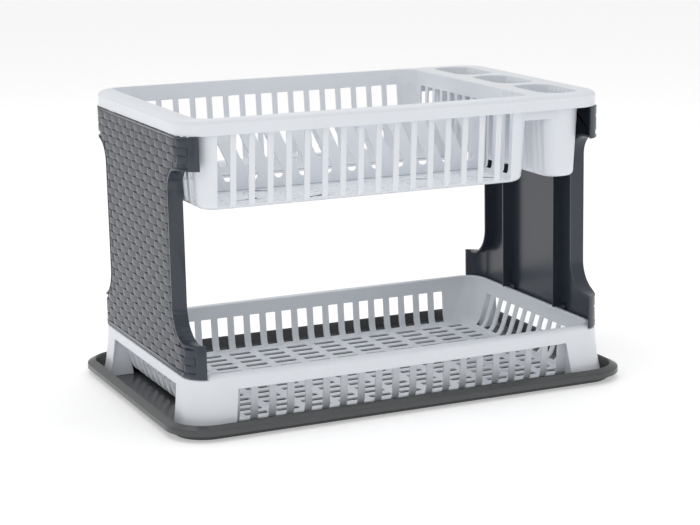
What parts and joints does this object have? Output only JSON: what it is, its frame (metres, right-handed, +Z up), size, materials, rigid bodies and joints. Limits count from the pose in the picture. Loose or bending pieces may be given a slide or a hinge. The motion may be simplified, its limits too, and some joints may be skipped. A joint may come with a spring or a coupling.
{
  "type": "two-tier dish drying rack",
  "caption": "Two-tier plastic dish drying rack: slatted baskets joined by side panels, with slanted plate rails, cutlery cups and a drip tray under it.",
  "frame": {"origin": "centre of the drip tray's flat underside, on the surface the rack stands on", "axes": "+X along the rack towards the cutlery cups, -Y the front, +Z up"},
  "size_m": [0.526, 0.352, 0.3206],
  "materials": {
    "white_plastic": "smooth satin white polypropylene",
    "grey_plastic": "dark grey plastic with a woven brick relief outside",
    "light_grey_plastic": "mid grey satin plastic"
  },
  "bodies": {
    "drip_tray": {"drip_tray": "light_grey_plastic"},
    "rack": {"lower_basket": "white_plastic", "side_panel_left": "grey_plastic", "side_panel_right": "grey_plastic"},
    "upper_basket": {"upper_basket": "white_plastic", "plate_rail_front": "white_plastic", "plate_rail_back": "white_plastic"}
  },
  "joints": [
    {"name": "rack_lift", "type": "slide", "parent": "drip_tray", "child": "rack", "axis": [0, 0, 1], "range_m": [0, 0.06]},
    {"name": "upper_basket_lift", "type": "slide", "parent": "rack", "child": "upper_basket", "axis": [0, 0, 1], "range_m": [0, 0.1]}
  ]
}
